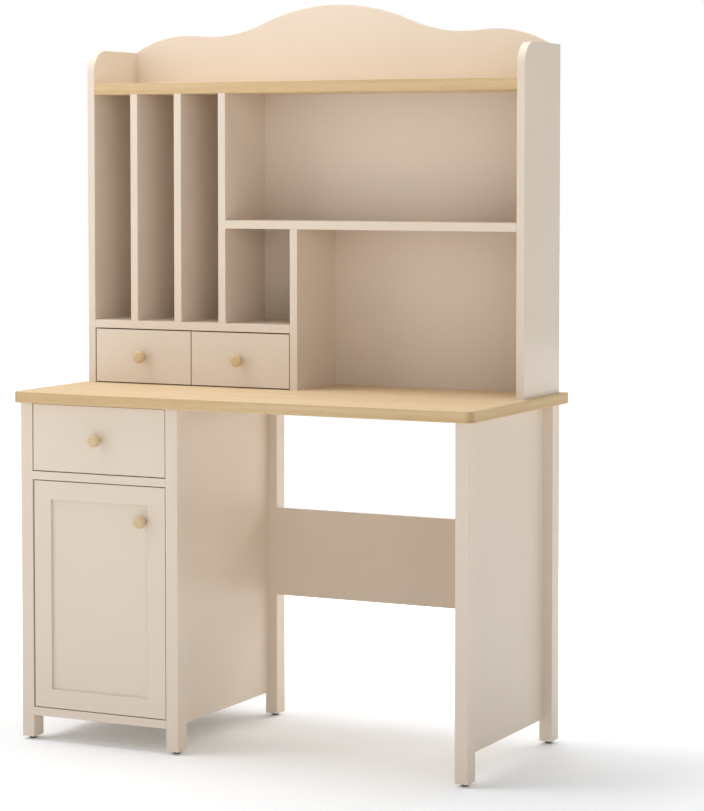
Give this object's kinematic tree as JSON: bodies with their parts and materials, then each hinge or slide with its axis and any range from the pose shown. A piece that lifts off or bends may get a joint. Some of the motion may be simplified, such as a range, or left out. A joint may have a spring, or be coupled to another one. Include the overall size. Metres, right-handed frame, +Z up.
{
  "type": "student desk with hutch",
  "caption": "Cream painted student desk with a pale wood top, a pedestal with drawer and cupboard, and a hutch with slots, bays, small drawers and a wavy crest.",
  "frame": {"origin": "on the floor, under the middle of the outer box of the desk", "axes": "+X to the right as seen from the front, +Y to the back, +Z up"},
  "size_m": [1.09, 0.526, 1.609],
  "materials": {
    "painted_board": "satin cream paint",
    "pale_wood": "satin clear coat",
    "turned_wood": "satin clear coat",
    "drawer_board": "raw",
    "hardboard": "smooth",
    "beech": "raw",
    "zinc_steel": "zinc plated",
    "nickel_steel": "nickel plated",
    "zinc_cast": "cast",
    "dark_plastic": "matte",
    "white_plastic": "matte"
  },
  "bodies": {
    "desk": {"front_left_post": "painted_board", "front_right_post": "painted_board", "rear_left_post": "painted_board", "rear_right_post": "painted_board", "pedestal_left_panel": "painted_board", "pedestal_right_panel": "painted_board", "pedestal_back_panel": "painted_board", "pedestal_floor": "painted_board", "drawer_rail": "painted_board", "bottom_rail": "painted_board", "top_stretchers": "painted_board", "cupboard_shelf": "painted_board", "right_front_leg": "painted_board", "right_rear_leg": "painted_board", "right_leg_panel": "painted_board", "modesty_panel": "painted_board", "hutch_left_side": "painted_board", "hutch_right_side": "painted_board", "hutch_back": "painted_board", "hutch_middle_shelf": "painted_board", "slot_dividers": "painted_board", "bay_divider": "painted_board", "drawer_deck": "painted_board", "small_drawer_partition": "painted_board", "desktop": "pale_wood", "hutch_top_shelf": "pale_wood", "assembly_dowels": "beech", "small_drawer_runners": "beech", "slide_outer_members": "zinc_steel", "angle_brackets": "zinc_steel", "hinge_arms": "nickel_steel", "carcass_screws": "nickel_steel", "shelf_pins": "nickel_steel", "cam_locks": "zinc_cast", "leg_glides": "dark_plastic", "door_catch": "white_plastic"},
    "slide_middles": {"slide_middle_members": "zinc_steel"},
    "desk_drawer": {"desk_drawer_front": "painted_board", "desk_drawer_box": "drawer_board", "desk_drawer_bottom": "hardboard", "desk_drawer_knob": "turned_wood", "desk_drawer_knob_screw": "nickel_steel", "slide_inner_members": "zinc_steel"},
    "left_drawer": {"left_drawer_front": "painted_board", "left_drawer_box": "drawer_board", "left_drawer_bottom": "hardboard", "left_drawer_knob": "turned_wood", "left_drawer_knob_screw": "nickel_steel"},
    "right_drawer": {"right_drawer_front": "painted_board", "right_drawer_box": "drawer_board", "right_drawer_bottom": "hardboard", "right_drawer_knob": "turned_wood", "right_drawer_knob_screw": "nickel_steel"},
    "door": {"door_frame": "painted_board", "door_panel": "painted_board", "door_knob": "turned_wood", "door_knob_screw": "nickel_steel", "hinge_cups": "nickel_steel", "hinge_pins": "nickel_steel", "door_strike": "nickel_steel"}
  },
  "joints": [
    {"name": "desk_drawer_slide", "type": "slide", "parent": "desk", "child": "desk_drawer", "axis": [0, -1, 0], "range_m": [0, 0.36]},
    {"name": "slide_middle", "type": "slide", "parent": "desk", "child": "slide_middles", "axis": [0, -1, 0], "range_m": [0, 0.18]},
    {"name": "left_drawer_slide", "type": "slide", "parent": "desk", "child": "left_drawer", "axis": [0, -1, 0], "range_m": [0, 0.11]},
    {"name": "right_drawer_slide", "type": "slide", "parent": "desk", "child": "right_drawer", "axis": [0, -1, 0], "range_m": [0, 0.11]},
    {"name": "door_hinge", "type": "hinge", "parent": "desk", "child": "door", "pos_m": [-0.4815, -0.227, 0.32225], "axis": [0, 0, -1], "range_deg": [0, 95]}
  ],
  "couplings": [
    {"joint": "slide_middle", "follows": "desk_drawer_slide", "ratio": 0.5}
  ]
}
